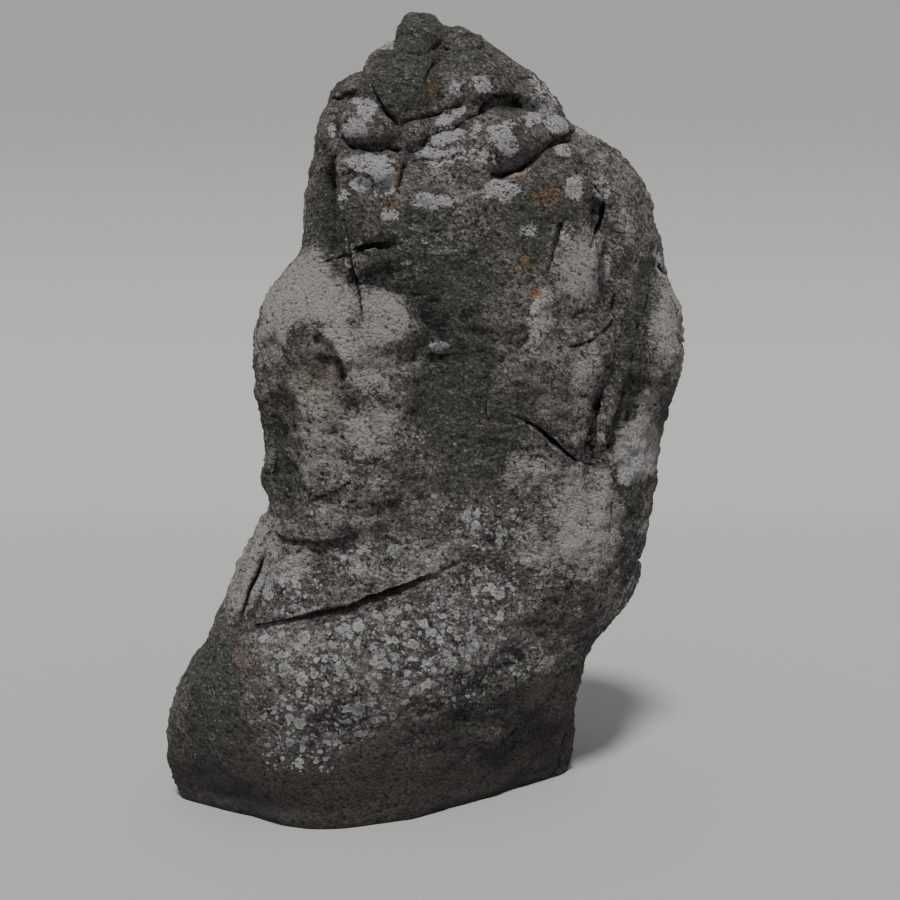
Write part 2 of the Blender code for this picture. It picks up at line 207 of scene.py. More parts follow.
def near_path(seen, path, reach, least_facing=0.0):
    """The points within reach of a path, their distance to its right going along it (to its left it is below
    0), how far along it they are, both in metres, its whole length, and which way its right is.
    """
    across, down, facing, metres = seen
    marks = smooth_path(path)
    margin = reach / metres.min()
    low, high = marks.min(axis=0) - margin, marks.max(axis=0) + margin
    held = (across > low[0]) & (across < high[0]) & (down > low[1]) & (down < high[1])
    held &= facing > least_facing
    u, v, scale = across[held], down[held], metres[held]
    gap, along, aside = np.full(u.shape, np.inf), np.zeros(u.shape), np.zeros((len(u), 2))
    walked = 0.0
    for start, end in zip(marks, marks[1:]):
        run = end - start
        length = math.hypot(*run)
        t = np.clip(((u - start[0]) * run[0] + (v - start[1]) * run[1]) / length**2, 0.0, 1.0)
        away = np.stack([u - start[0] - t * run[0], v - start[1] - t * run[1]], axis=1)
        side = run[0] * away[:, 1] - run[1] * away[:, 0]
        distance = np.where(side < 0.0, -1.0, 1.0) * np.hypot(*away.T)
        closer = np.abs(distance) < np.abs(gap)
        gap = np.where(closer, distance, gap)
        along = np.where(closer, walked + t * length, along)
        aside[closer] = (-run[1] / length, run[0] / length)
        walked += length
    return held, gap * scale, along * scale, walked * scale, aside


def stray(along, step):
    """A crooked line's wanderings, from -1 to 1, for a distance along it. Step is how long a bend is."""
    turns = along * 2 * math.pi / step
    return 0.5 * np.sin(turns) + 0.3 * np.sin(2.3 * turns + 1.3) + 0.2 * np.sin(5.1 * turns + 4.0)


def carve(points, normals, slit_shade, rims, bearing, path, width, depth, lip=0.0, roll=0.0):
    """Cuts a joint along a path. Width and depth are in metres, lip is how far its right side stands proud,
    and roll how far its shoulders have weathered down. Slit shade is the painted shade of each point for how
    deep in a joint it lies, and rims how near it lies to a joint's edge, and both are kept up to date.
    """
    reach = max(WIDTHS_ABOUT * width, LIPS_ABOUT * abs(lip), ROLLS_ABOUT * roll)
    seen = seen_from(bearing, points, normals)
    held, gap, along, length, aside = near_path(seen, path, reach)
    ends = fade(0.0, RUN_OUT, along / length) * fade(0.0, RUN_OUT, 1.0 - along / length)
    faced = fade(0.0, FACED, seen[2][held])
    strength = ends * faced
    off = gap + WANDER * width * stray(along, WANDER_BENDS * width)

    # The points beside the joint's bottom slide along the skin into it, so that its edges show no teeth.
    walk = walked_round(bearing)
    sight = points[held] - (walk.T @ (CAMERA_PLACE - WALK_CENTRE) + WALK_CENTRE)
    level = (aside[:, :1] * np.array([1.0, 0.0, 0.0]) - aside[:, 1:] * CAMERA_UP) @ walk
    normal = normals[held]
    lean = np.einsum("ij,ij->i", level, normal) / np.einsum("ij,ij->i", sight, normal)
    slide = level - np.clip(lean, -MOST_LEAN, MOST_LEAN)[:, None] * sight
    pull = off * fade(-SLIDE_NONE, -SLIDE_FULL, -np.abs(off) / SKIN_FACE) * faced
    points[held] -= slide * pull[:, None]
    off -= pull

    taper = fade(0.0, TAPER, along / length) * fade(0.0, TAPER, 1.0 - along / length)
    bends = stray(along + OPENING_SHIFT, OPENING_BENDS * width)
    opening = 0.5 * width * (OPENING + OPENING_CHANGE * bends) * (END_WIDTH + (1.0 - END_WIDTH) * taper)
    slit = np.clip(1.0 - np.abs(off) / opening, 0.0, 1.0) ** SLIT_CURVE
    proud = np.clip(1.0 - np.abs(off) / reach, 0.0, 1.0) ** 2 * np.clip(off / opening, -1.0, 1.0)
    nearness = np.clip(1.0 - np.abs(off) / max(ROLLS_ABOUT * roll, 0.5 * width), 0.0, 1.0)
    shoulder = 1.0 - np.sqrt(1.0 - nearness**2)
    cut = depth * slit * (END_DEPTH + (1.0 - END_DEPTH) * taper)
    amount = strength * (0.5 * lip * proud - cut - roll * shoulder)
    points[held] += normal * amount[:, None]
    # Painted shade: the slit is darkened, fullest in its opening and fading out past it, as the shade that
    # falls into it.
    shade = strength * np.clip(SHADE_REACH - np.abs(off) / opening, 0.0, 1.0) * min(1.0, depth / DARK_DEPTH)
    shade *= END_SHADE + (1.0 - END_SHADE) * taper
    slit_shade[held] = np.maximum(slit_shade[held], shade)
    edge = np.clip(1.0 - np.abs(np.abs(off) / opening - RIM_PLACE) / RIM_BREADTH, 0.0, 1.0)
    rims[held] = np.maximum(rims[held], strength * edge * min(1.0, depth / DARK_DEPTH))


JOINTS = {
    # bearing: name: path, width, depth, lip and roll
    FRONT: {
        # The long joint low down, the spur beside it and the seams of the foot.
        "low_joint": (((230, 623), (240, 627), (254, 629), (275, 627), (300, 620), (325, 615), (350, 609),
                       (375, 601), (400, 591),
                       (421, 582), (442, 572), (458, 565), (474, 559)), 0.036, 0.046, 0.010, 0.0),
        "spur_groove": (((265, 549), (259, 570), (250, 590), (244, 608), (237, 625)),
                         0.020, 0.030, 0.006, 0.006),
        "spur_back_groove": (((251, 556), (240, 575), (233, 592), (228, 612)), 0.010, 0.010, 0.0, 0.005),
        "foot_seam": (((247, 648), (241, 665), (239, 690), (239, 715), (245, 736)),
                       0.010, 0.005, -0.006, 0.004),
        "foot_hair_crack": (((330, 650), (326, 676), (321, 700)), 0.005, 0.004, 0.0, 0.0),
        # The seams about the left buttress.
        "wedge_top": (((273, 529), (281, 536), (293, 540), (306, 541), (322, 542), (345, 539), (362, 531)),
                      0.011, 0.010, -0.014, 0.003),
        "wedge_side": (((306, 541), (316, 560), (326, 582), (332, 600)), 0.007, 0.003, 0.008, 0.0),
        "buttress_foot": (((299, 486), (309, 494), (320, 497), (335, 491), (353, 479)),
                           0.011, 0.010, -0.012, 0.003),
        "buttress_hollow": (((309, 335), (325, 341), (337, 353), (344, 368), (346, 385), (344, 402)),
                            0.012, 0.004, -0.026, 0.0),
        "buttress_edge": (((275, 358), (286, 378), (295, 396)), 0.020, 0.002, 0.012, 0.0),
        "outer_edge": (((256, 332), (261, 356), (266, 382), (270, 410), (273, 445), (275, 480)),
                        0.014, 0.010, 0.022, 0.0),
        "small_step": (((384, 536), (394, 541), (404, 545)), 0.008, 0.004, -0.010, 0.0),
        # The face's left edge, and the joint that runs into it.
        "face_edge": (((334, 160), (339, 185), (343, 210), (345, 236), (347, 262), (350, 280)),
                       0.014, 0.018, -0.036, 0.0),
        "face_edge_fissure": (((344, 215), (346, 240), (349, 258), (351, 273), (356, 288), (360, 302),
                               (364, 330)), 0.018, 0.020, -0.004, 0.0),
        "side_joint": (((300, 264), (320, 260), (336, 257), (350, 253), (361, 249), (374, 246),
                        (388, 245), (406, 243)), 0.013, 0.022, 0.006, 0.0),
        "valley_edge": (((358, 283), (375, 287), (390, 296), (401, 304), (413, 319), (431, 331),
                         (447, 346)),
                        0.050, 0.0, 0.030, 0.0),
        # The creases between the rounded blocks of the crown.
        "dome_under_left": (((371, 66), (371, 84), (379, 101), (390, 116), (401, 128)),
                             0.010, 0.012, -0.012, 0.006),
        "dome_under_right": (((401, 129), (404, 121), (415, 117), (437, 113), (447, 107), (464, 104)),
                             0.010, 0.012, -0.014, 0.006),
        "dome_split": (((449, 50), (440, 58), (432, 68), (428, 80), (431, 92)),
                        0.010, 0.006, -0.004, 0.012),
        "apex_under": (((393, 30), (396, 41), (404, 49), (418, 52), (431, 50), (441, 42), (443, 28)),
                       0.008, 0.003, -0.004, 0.010),
        "knob_under": (((376, 53), (385, 56), (394, 54), (402, 49)), 0.008, 0.004, 0.0, 0.010),
        "ridge_under": (((441, 44), (449, 51), (461, 52), (475, 49), (485, 45)),
                         0.006, 0.003, -0.004, 0.006),
        "dome_back_edge": (((478, 50), (490, 56), (499, 66), (508, 78), (515, 92)),
                            0.008, 0.008, 0.006, 0.008),
        "left_knob_under": (((328, 98), (338, 97), (352, 91), (366, 88)), 0.010, 0.008, -0.006, 0.008),
        "beam_top": (((463, 119), (477, 113), (486, 103), (497, 97), (507, 97), (516, 95)),
                      0.010, 0.014, -0.010, 0.005),
        "beam_back": (((522, 98), (530, 98), (545, 103), (556, 112), (568, 122)),
                       0.006, 0.004, 0.006, 0.004),
        "beam_side": (((486, 104), (482, 118), (485, 134), (494, 150), (500, 170)),
                       0.010, 0.003, 0.006, 0.006),
        "far_block": (((514, 97), (516, 83), (523, 78), (537, 80), (550, 95), (561, 110)),
                       0.008, 0.004, 0.006, 0.004),
        "beam_under": (((500, 174), (517, 170), (530, 160), (540, 150), (552, 143), (566, 136), (577, 129)),
                       0.014, 0.028, -0.016, 0.006),
        "left_block_under": (((341, 137), (352, 145), (362, 150), (385, 151), (403, 149)),
                              0.012, 0.018, -0.014, 0.005),
        "left_block_side": (((343, 138), (339, 122), (342, 106), (350, 97), (362, 93), (374, 97)),
                            0.010, 0.008, 0.008, 0.006),
        "left_block_end": (((402, 150), (404, 158), (404, 168), (400, 182), (396, 193)),
                           0.010, 0.010, 0.004, 0.004),
        "small_block_side": (((360, 152), (357, 163), (350, 172), (341, 176)), 0.010, 0.010, 0.0, 0.006),
        "small_block_back": (((345, 146), (336, 152), (333, 164), (337, 178)), 0.010, 0.006, 0.0, 0.005),
        "key_block": (((404, 151), (417, 150), (427, 139), (431, 124)), 0.010, 0.008, -0.008, 0.006),
        "band_under": (((428, 138), (440, 131), (455, 128), (468, 119)), 0.007, 0.006, 0.0, 0.006),
        "band_low": (((407, 163), (420, 158), (436, 160), (452, 157), (466, 150)),
                      0.007, 0.005, -0.006, 0.005),
        "shoulder_cleft": (((586, 150), (591, 166), (592, 182), (601, 196)), 0.009, 0.006, 0.006, 0.006),
        # The flake and the joints of the right flank.
        "flake_edge": (((576, 217), (568, 218), (561, 226), (556, 240), (551, 257), (546, 275), (541, 291)),
                       0.024, 0.030, -0.020, 0.0),
        "flank_cut": (((603, 198), (601, 215), (597, 232), (589, 251)), 0.020, 0.026, -0.014, 0.0),
        "flank_plate_top": (((572, 328), (577, 316), (590, 311), (601, 315), (608, 320)),
                             0.011, 0.008, 0.006, 0.0),
        "flank_plate_side": (((617, 286), (613, 298), (611, 310), (606, 322)), 0.011, 0.012, 0.0, 0.002),
        "flank_plate_under": (((566, 347), (585, 343), (599, 336), (608, 325), (614, 317)),
                               0.011, 0.010, -0.012, 0.002),
        "flank_ridge": (((614, 317), (624, 336), (629, 358), (626, 382), (617, 410), (609, 438),
                         (605, 460)),
                        0.008, 0.0, 0.030, 0.0),
        "flank_joint": (((509, 414), (525, 422), (540, 430), (550, 440), (560, 448), (572, 458),
                         (585, 464), (600, 466)),
                        0.018, 0.024, 0.008, 0.0),
        "flank_valley": (((536, 333), (518, 350), (501, 367), (491, 390), (487, 420)),
                          0.040, 0.0, -0.026, 0.0),
        "side_fold": (((648, 240), (649, 262), (650, 285), (643, 312), (648, 344), (650, 384)),
                       0.014, 0.008, 0.020, 0.0),
        "side_seam": (((614, 478), (612, 510), (608, 542)), 0.016, 0.016, 0.010, 0.0),
        # The worn diagonals where the foot is undercut.
        "foot_diagonal_high": (((563, 676), (549, 690), (535, 705), (520, 720), (505, 736), (495, 752)),
                               0.030, 0.0, 0.018, 0.0),
        "foot_diagonal_low": (((565, 712), (552, 730), (541, 745), (532, 762), (526, 778)),
                               0.030, 0.0, 0.014, 0.0),
        "foot_corner": (((569, 728), (562, 748), (558, 772)), 0.012, 0.006, 0.0, 0.004),
        "striation_inner": (((622, 330), (630, 360), (632, 395), (624, 430)), 0.011, 0.008, 0.006, 0.0),
        "striation_outer": (((634, 300), (640, 340), (641, 380), (633, 425)), 0.011, 0.006, 0.006, 0.0),
        "slab_line": (((255, 326), (263, 345), (271, 366), (280, 392)), 0.012, 0.006, 0.010, 0.0),
    },
    RIGHT: {
        "side_split": (((462, 190), (458, 250), (451, 300), (452, 360), (446, 420), (447, 480),
                        (440, 530)), 0.012, 0.018, 0.014, 0.0),
        "side_step": (((395, 318), (430, 326), (462, 328), (515, 340)), 0.012, 0.014, -0.012, 0.0),
        "side_low_joint": (((432, 600), (462, 606), (508, 616), (560, 620)), 0.014, 0.022, 0.010, 0.0),
        "side_hair": (((500, 420), (507, 470), (498, 520)), 0.010, 0.006, 0.0, 0.0),
    },
    BACK: {
        "back_bed": (((330, 250), (378, 254), (398, 262), (452, 266), (476, 274), (540, 276), (590, 288)),
                      0.012, 0.018, 0.016, 0.0),
        "back_split": (((472, 274), (470, 320), (461, 352), (463, 410), (458, 470), (462, 505)),
                        0.011, 0.012, 0.014, 0.0),
        "back_low_joint": (((400, 622), (440, 612), (480, 608), (520, 598), (566, 594), (612, 582),
                            (670, 578)), 0.013, 0.020, 0.012, 0.0),
        "back_hair": (((350, 420), (372, 450), (366, 490), (384, 530)), 0.010, 0.006, 0.0, 0.0),
        "back_crown_crease": (((395, 132), (424, 142), (462, 146), (510, 160)),
                               0.011, 0.014, -0.012, 0.006),
        "back_crown_side": (((455, 60), (448, 85), (456, 110), (452, 134)), 0.010, 0.008, 0.006, 0.006),
    },
    LEFT: {
        "left_split": (((470, 210), (468, 268), (464, 300), (466, 350), (461, 400)),
                        0.013, 0.018, -0.012, 0.0),
        "left_bed": (((400, 462), (436, 468), (474, 470), (530, 482)), 0.014, 0.020, 0.012, 0.0),
        "left_low_joint": (((366, 624), (404, 632), (446, 640), (486, 642)), 0.012, 0.016, 0.010, 0.0),
    },
}

# Edges of the solid that are evened out too, because the skin has its own, a little aside of them.
EVENED = {
    FRONT: (
        ((627, 316), (625, 361), (603, 409), (596, 474), (603, 539)),
        ((344, 180), (350, 232), (352, 262), (362, 300)),
        ((597, 425), (595, 460), (597, 495)),
    ),
}
# Where the skin swells out, and by less than 0 where it sinks in: across, down, half width, half height, tilt
# in degrees and height in metres.
SWELLS = {
    FRONT: (
        (318, 376, 34, 44, 10, -0.022), (286, 450, 20, 95, -3, -0.022), (354, 290, 12, 20, -15, -0.014),
        (388, 332, 44, 40, 25, 0.018), (448, 330, 50, 90, 15, -0.020), (576, 272, 28, 54, 15, 0.012),
        (602, 372, 26, 56, 0, 0.016), (560, 545, 66, 70, 0, 0.016), (380, 672, 150, 54, -8, 0.016),
        (440, 224, 90, 50, 0, 0.010), (290, 582, 36, 40, 0, 0.010), (556, 744, 50, 50, -30, -0.020),
        (440, 351, 14, 5, -5, 0.012), (330, 215, 12, 70, -4, -0.026), (370, 470, 50, 60, 0, 0.012),
        (480, 470, 50, 60, 20, -0.010), (500, 610, 60, 40, -20, 0.010), (240, 720, 40, 60, 0, 0.010),
        (641, 350, 13, 110, 4, -0.024), (606, 418, 12, 44, 8, 0.028), (594, 430, 12, 40, 0, 0.010),
        (530, 97, 24, 8, 18, 0.024), (668, 345, 14, 60, 0, 0.012), (612, 510, 10, 46, 3, -0.016),
        (404, 86, 36, 40, 0, 0.018), (474, 78, 40, 26, 18, 0.012), (534, 132, 42, 28, 12, 0.016),
        (372, 122, 30, 27, 0, 0.014), (378, 172, 26, 18, 0, 0.010), (347, 161, 12, 12, 0, 0.010),
        (416, 135, 12, 16, 0, 0.010), (391, 42, 10, 10, 0, 0.012), (419, 32, 24, 20, 0, 0.004),
    ),
    RIGHT: (
        (430, 260, 60, 70, 10, 0.016), (500, 400, 60, 90, -10, 0.014), (420, 480, 50, 80, 5, -0.016),
        (470, 650, 90, 60, 0, 0.014), (520, 250, 40, 60, 0, -0.014),
    ),
    BACK: (
        (400, 330, 80, 70, 15, 0.018), (560, 340, 70, 80, -10, -0.018), (430, 500, 90, 70, 0, 0.014),
        (580, 500, 60, 80, 10, 0.014), (520, 680, 120, 60, 5, 0.016), (440, 190, 90, 40, 5, -0.012),
        (470, 90, 50, 40, 0, 0.014),
    ),
    LEFT: (
        (430, 320, 60, 80, 0, 0.016), (500, 560, 70, 70, 10, 0.014), (430, 560, 50, 60, 0, -0.016),
        (450, 720, 100, 50, 0, 0.012),
    ),
}
# Where weather has left the skin smoother than elsewhere: an oval, and how much of the relief is missing.
CALM = {
    FRONT: (
        (450, 60, 160, 120, 0, 0.75), (290, 585, 50, 60, 0, 0.5), (330, 790, 220, 90, 0, 0.6),
        (630, 220, 50, 110, 0, 0.5),
        (575, 270, 28, 50, 10, 0.5), (290, 290, 50, 40, -30, 0.4), (545, 745, 60, 60, 0, 0.4),
    ),
}


def from_middle(across, down, oval):
    """How far out each point lies in an oval: 0 in its middle and 1 on its edge."""
    middle_across, middle_down, wide, tall, tilt = oval[:5]
    lean = math.radians(tilt)
    u = ((across - middle_across) * math.cos(lean) + (down - middle_down) * math.sin(lean)) / wide
    v = ((down - middle_down) * math.cos(lean) - (across - middle_across) * math.sin(lean)) / tall
    return np.hypot(u, v)


def patchwork(points, normals, patches):
    """How strongly each point lies in any of the patches, from 0 to 1."""
    strength = np.zeros(len(points))
    for bearing, ovals in patches.items():
        across, down, facing, _ = seen_from(bearing, points, normals)
        faced = fade(*PATCH_FACING, facing)
        for oval in ovals:
            inside = fade(0.0, PATCH_FADE, PATCH_REACH - from_middle(across, down, oval))
            strength = np.maximum(strength, oval[5] * faced * inside)
    return strength


points, normals = read_points(stone.data), read_points(stone.data, "normal")
under = points[:, 2] < GROUND_EDGE
bed = np.zeros(len(points))
for bearing, joints in JOINTS.items():
    seen = seen_from(bearing, points, normals)
    for path in [joint[0] for joint in joints.values()] + list(EVENED.get(bearing, ())):
        held, gap, *_ = near_path(seen, path, BED_REACH, WALL_FACING)
        close = fade(0.0, BED_FULL, 1.0 - np.abs(gap) / BED_REACH)
        low = fade(-BED_FADE, BED_FADE, seen[1][held] - BED_BELOW)
        bed[held] = np.maximum(bed[held], close * low)
points += (even_out(stone.data, points, BED_ROUNDS) - points) * bed[:, None]
for bearing, ovals in SWELLS.items():
    across, down, facing, _ = seen_from(bearing, points, normals)
    faced = fade(0.0, FACED, facing)
    for oval in ovals:
        inside = fade(0.0, 1.0, SWELL_REACH - SWELL_REACH * from_middle(across, down, oval))
        points += normals * (oval[5] * faced * inside)[:, None]
slit_shade, rims = np.zeros(len(points)), np.zeros(len(points))
for bearing, joints in JOINTS.items():
    for joint in joints.values():
        carve(points, normals, slit_shade, rims, bearing, *joint)
points[under, 2] = 0.0
write_points(stone.data, points)
# The joints' painted slit shade is kept under the name joint.
paint(stone.data, "joint", slit_shade)
paint(stone.data, "rim", rims)
paint(stone.data, "calm", np.maximum(patchwork(points, normals, CALM), slit_shade * (1.0 - RELIEF_IN_JOINTS)))


class Signal:
    """A node's output that can be reckoned with like a number, in a material or in Geometry Nodes."""

    def __init__(self, tree, socket=None):
        self.tree = tree
        self.socket = socket

    def node(self, kind, settings, sockets, output=0):
        """Adds a node with its settings and its sockets' values or links, and gives one of its outputs."""
        made = self.tree.nodes.new(kind)
        for name, value in settings.items():
            setattr(made, name, value)
        for name, value in sockets.items():
            if isinstance(value, Signal):
                self.tree.links.new(value.socket, made.inputs[name])
            else:
                made.inputs[name].default_value = value
        return Signal(self.tree, made.outputs[output])

    def maths(self, operation, first, second=0.0, third=0.0):
        return self.node("ShaderNodeMath", {"operation": operation}, {0: first, 1: second, 2: third})

    def __add__(self, other):
        return self.maths("ADD", self, other)

    def __radd__(self, other):
        return self.maths("ADD", other, self)

    def __sub__(self, other):
        return self.maths("SUBTRACT", self, other)

    def __rsub__(self, other):
        return self.maths("SUBTRACT", other, self)

    def __mul__(self, other):
        return self.maths("MULTIPLY", self, other)

    def __rmul__(self, other):
        return self.maths("MULTIPLY", other, self)

    def above(self, low, high):
        """0 below low, 1 above high, and a smooth rise between them."""
        settings = {"interpolation_type": "SMOOTHSTEP"}
        return self.node("ShaderNodeMapRange", settings, {"Value": self, "From Min": low, "From Max": high})

    def blend(self, below, over):
        """One colour laid over another as thickly as this signal says."""
        return self.node("ShaderNodeMix", {"data_type": "RGBA"}, {0: self, 6: below, 7: over}, 2)


# The rough skin: coarse grain, scales and lumps that weather has left between the joints.
# Geometry Nodes push the skin out and in by layers of noise, each with its own size and height.
RELIEF = {
    # name: size and height in metres, and how much longer it is across than up
    "lump": (0.200, 0.024, 1.0),
    "knuckle": (0.080, 0.018, 1.4),
    "scale": (0.034, 0.008, 2.0),
    "grain": (0.017, 0.005, 1.2),
}
RELIEF_DETAIL, RELIEF_DISTORTION = 3.0, 0.25
RELIEF_SEED, SEED_STEP = 3.0, 7.0
# The relief starts above the ground's edge and is whole at this height.
FOOT_FADE = 0.03
# The finished skin has no more triangles than this. Where it is in a joint by more than the least, its faces
# are the last to be thinned out.
MOST_TRIANGLES = 192000
KEPT_JOINT = 0.05
KEPT_FACTOR = 1.0

granite = bpy.data.materials.new("weathered_granite")
granite.use_nodes = True
relief = bpy.data.node_groups.new("weathered_relief", "GeometryNodeTree")
relief.interface.new_socket("Geometry", in_out="INPUT", socket_type="NodeSocketGeometry")
relief.interface.new_socket("Geometry", in_out="OUTPUT", socket_type="NodeSocketGeometry")
seed_socket = relief.interface.new_socket("seed", in_out="INPUT", socket_type="NodeSocketFloat")
relief_values = {seed_socket.identifier: RELIEF_SEED}
for name, (size, height, stretch) in RELIEF.items():
    for word, value in (("size", size), ("height", height), ("stretch", stretch)):
        label = name + "_" + word
        socket = relief.interface.new_socket(label, in_out="INPUT", socket_type="NodeSocketFloat")
        relief_values[socket.identifier] = value
entry = relief.nodes.new("NodeGroupInput")
skin = Signal(relief)
place = skin.node("GeometryNodeInputPosition", {}, {})
normal = skin.node("GeometryNodeInputNormal", {}, {})
seed = Signal(relief, entry.outputs["seed"])
push = None
for index, name in enumerate(RELIEF):
    size, height, stretch = (
        Signal(relief, entry.outputs[name + "_" + word]) for word in ("size", "height", "stretch")
    )
    spread = skin.node("ShaderNodeCombineXYZ", {}, {0: 1.0, 1: 1.0, 2: stretch})
    moved = skin.node("ShaderNodeVectorMath", {"operation": "MULTIPLY"}, {0: place, 1: spread})
    values = {"Vector": moved, "W": seed + SEED_STEP * index, "Scale": skin.maths("DIVIDE", 1.0, size),
              "Detail": RELIEF_DETAIL, "Distortion": RELIEF_DISTORTION}
    cloud = skin.node("ShaderNodeTexNoise", {"noise_dimensions": "4D"}, values)
    layer = (cloud - 0.5) * 2.0 * height
    push = layer if push is None else push + layer
off_ground = skin.node("ShaderNodeSeparateXYZ", {}, {0: place}, 2).above(GROUND_EDGE, FOOT_FADE)
quieter = 1.0 - skin.node("GeometryNodeInputNamedAttribute", {"data_type": "FLOAT"}, {"Name": "calm"})
amount = push * off_ground * quieter
offset = skin.node("ShaderNodeVectorMath", {"operation": "SCALE"}, {0: normal, "Scale": amount})
pushed = skin.node("GeometryNodeSetPosition", {}, {"Geometry": Signal(relief, entry.outputs[0]),
"Offset": offset})
real = skin.node("GeometryNodeRealizeInstances", {}, {0: pushed})
finished = skin.node("GeometryNodeSetMaterial", {}, {"Geometry": real, "Material": granite})
relief.links.new(finished.socket, relief.nodes.new("NodeGroupOutput").inputs[0])

weather = stone.modifiers.new("weathered_relief", "NODES")
weather.node_group = relief
for identifier, value in relief_values.items():
    weather[identifier] = value
plain_mesh(stone)
triangles = 2 * len(stone.data.polygons)
if triangles > MOST_TRIANGLES:
    carved = np.empty(len(stone.data.vertices), np.float32)
    stone.data.attributes["joint"].data.foreach_get("value", carved)
    cut_in = stone.vertex_groups.new(name="cut_in")
    cut_in.add(np.flatnonzero(carved > KEPT_JOINT).tolist(), 1.0, "REPLACE")
    fewer = stone.modifiers.new("fewer_faces", "DECIMATE")
    fewer.ratio = MOST_TRIANGLES / triangles
    fewer.vertex_group = cut_in.name
    fewer.invert_vertex_group = True
    fewer.vertex_group_factor = KEPT_FACTOR
    plain_mesh(stone)

# The foot is brought back to the ground, and the skin is shaded smooth.
points = read_points(stone.data)
points[points[:, 2] < GROUND_EDGE, 2] = 0.0
write_points(stone.data, points)
stone.data.shade_smooth()


# What grows on the stone and what stains it, with painted shade among the algae, each as a patchwork that
# the material reads from the skin.
# A patch is an oval: across, down, half width, half height, tilt in degrees, strength.
PALE_CRUST = {
    FRONT: (
        (292, 288, 52, 40, -35, 1.0), (330, 300, 34, 30, 0, 0.9), (385, 318, 30, 34, 20, 0.95),
        (345, 340, 30, 26, 0, 0.8),
        (270, 330, 22, 40, 0, 0.75), (318, 372, 36, 44, 0, 0.48), (310, 430, 30, 60, 0, 0.5),
        (372, 372, 34, 30, 0, 0.7), (370, 430, 40, 34, 0, 0.7),
        (320, 450, 40, 40, 0, 0.6), (352, 500, 46, 34, 0, 0.55), (415, 365, 26, 20, 0, 0.5),
        (638, 450, 26, 34, 15, 1.5), (646, 410, 16, 24, 10, 0.8),
        (668, 330, 20, 40, 0, 0.85), (584, 268, 30, 52, 16, 0.75), (541, 318, 14, 34, 12, 0.8),
        (585, 520, 42, 70, 0, 0.85), (586, 372, 18, 56, 0, 0.58), (560, 350, 30, 30, 0, 0.45),
        (590, 430, 20, 40, 0, 0.5),
        (540, 545, 36, 40, 0, 0.6), (530, 470, 40, 30, 0, 0.6), (600, 590, 36, 40, 0, 0.45),
        (440, 225, 60, 50, 0, 0.42),
        (250, 575, 24, 50, 30, 0.8), (285, 560, 34, 40, 0, 0.5), (290, 640, 60, 24, 0, 0.45),
        (400, 560, 90, 40, 0, 0.45),
        (560, 660, 34, 20, -20, 0.5), (600, 150, 40, 30, 30, 0.4), (460, 180, 60, 30, 0, 0.42),
        (630, 200, 26, 60, 0, 0.35),
    ),
    RIGHT: ((430, 300, 60, 90, 10, 0.7), (500, 470, 60, 70, -10, 0.75), (420, 560, 50, 50, 0, 0.5),
            (460, 150, 60, 50, 0, 0.45)),
    BACK: ((400, 300, 80, 70, 15, 0.7), (560, 390, 80, 80, -10, 0.65), (430, 520, 90, 60, 0, 0.6),
           (480, 160, 80, 40, 0, 0.5),
           (620, 560, 60, 50, 10, 0.6)),
    LEFT: ((430, 380, 60, 100, 0, 0.8), (500, 560, 60, 60, 0, 0.6), (450, 230, 60, 60, 0, 0.45)),
}
WHITE_CRUST = {
    FRONT: (
        (404, 262, 10, 5, 0, 0.6), (423, 242, 12, 4, 0, 0.6), (563, 235, 8, 8, 0, 0.55),
        (352, 128, 14, 10, -25, 0.85), (366, 113, 11, 12, 20, 0.65), (360, 132, 10, 7, 0, 0.6),
        (332, 130, 6, 12, 0, 0.7), (370, 163, 24, 10, 0, 1.1), (386, 177, 17, 11, 10, 1.1),
        (361, 184, 12, 8, 0, 0.9), (366, 103, 18, 7, 15, 0.7),
        (636, 460, 18, 26, 10, 1.1), (630, 476, 14, 10, 0, 1.1), (384, 190, 14, 10, 0, 0.6),
        (455, 156, 30, 12, -10, 0.6), (508, 126, 10, 10, 0, 0.5),
        (455, 88, 8, 8, 0, 0.9), (481, 85, 11, 9, 20, 0.9), (449, 117, 22, 6, -25, 0.7),
        (447, 136, 22, 10, -20, 0.9),
        (425, 152, 16, 7, -10, 0.8), (498, 136, 16, 12, 20, 0.9), (509, 146, 12, 13, 0, 0.85),
        (490, 158, 14, 9, 0, 0.7),
        (538, 108, 22, 11, 25, 0.85), (555, 122, 18, 10, 35, 0.9), (532, 120, 12, 8, 0, 0.6),
        (475, 130, 8, 14, 0, 0.6), (582, 130, 10, 6, 20, 0.8),
        (562, 150, 12, 8, 20, 0.7), (575, 188, 12, 14, 0, 0.7), (344, 196, 7, 8, 0, 0.6),
        (520, 172, 16, 5, -20, 0.6),
        (602, 190, 12, 14, 0, 0.7), (430, 200, 34, 12, 0, 0.6), (500, 190, 24, 14, 0, 0.6),
        (388, 214, 12, 8, 0, 0.7),
        (604, 266, 7, 18, 10, 0.7), (534, 312, 6, 16, 15, 0.7), (388, 45, 10, 8, 0, 0.6),
        (440, 346, 12, 6, 0, 0.7),
        (528, 232, 12, 10, 0, 0.6), (545, 90, 26, 10, 40, 0.6),
    ),
    RIGHT: ((450, 120, 26, 20, 0, 0.8), (500, 190, 24, 16, 0, 0.75), (410, 230, 16, 26, 0, 0.7)),
    BACK: ((440, 110, 30, 18, 0, 0.8), (500, 150, 26, 16, 10, 0.75), (400, 200, 30, 16, -10, 0.7),
           (560, 210, 22, 20, 0, 0.7)),
    LEFT: ((450, 130, 26, 18, 0, 0.75), (490, 200, 20, 20, 0, 0.7)),
}
